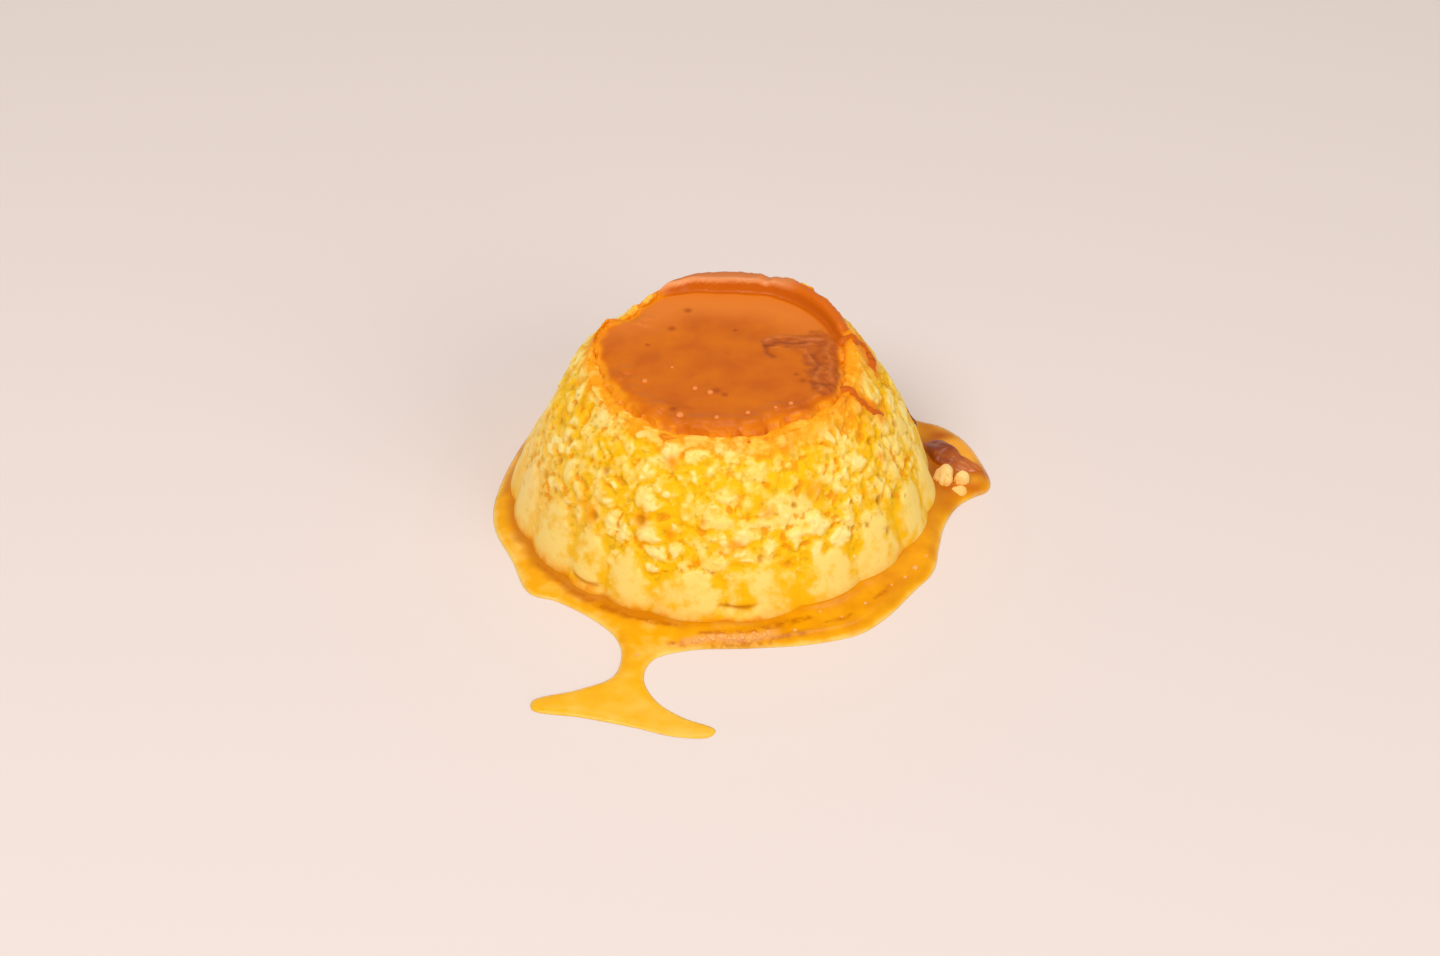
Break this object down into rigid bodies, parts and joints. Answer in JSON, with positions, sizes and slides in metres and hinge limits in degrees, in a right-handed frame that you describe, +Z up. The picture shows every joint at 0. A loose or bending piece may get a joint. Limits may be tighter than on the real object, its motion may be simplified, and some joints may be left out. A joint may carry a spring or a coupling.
{
  "type": "creme caramel",
  "caption": "Small creme caramel turned out of a fluted mould, with caramel on its top and sauce spread round its foot.",
  "frame": {"origin": "middle of the custard's flat base, on the surface that it stands on", "axes": "+Z up, -Y towards the front, where the sauce has run out furthest"},
  "size_m": [0.096, 0.1157, 0.0358],
  "materials": {
    "custard": "moist, soft sheen",
    "caramel": "glossy",
    "sauce": "glossy, wet"
  },
  "bodies": {
    "root": {"custard": "custard", "caramel_top": "caramel", "caramel_pool": "sauce"}
  },
  "joints": []
}
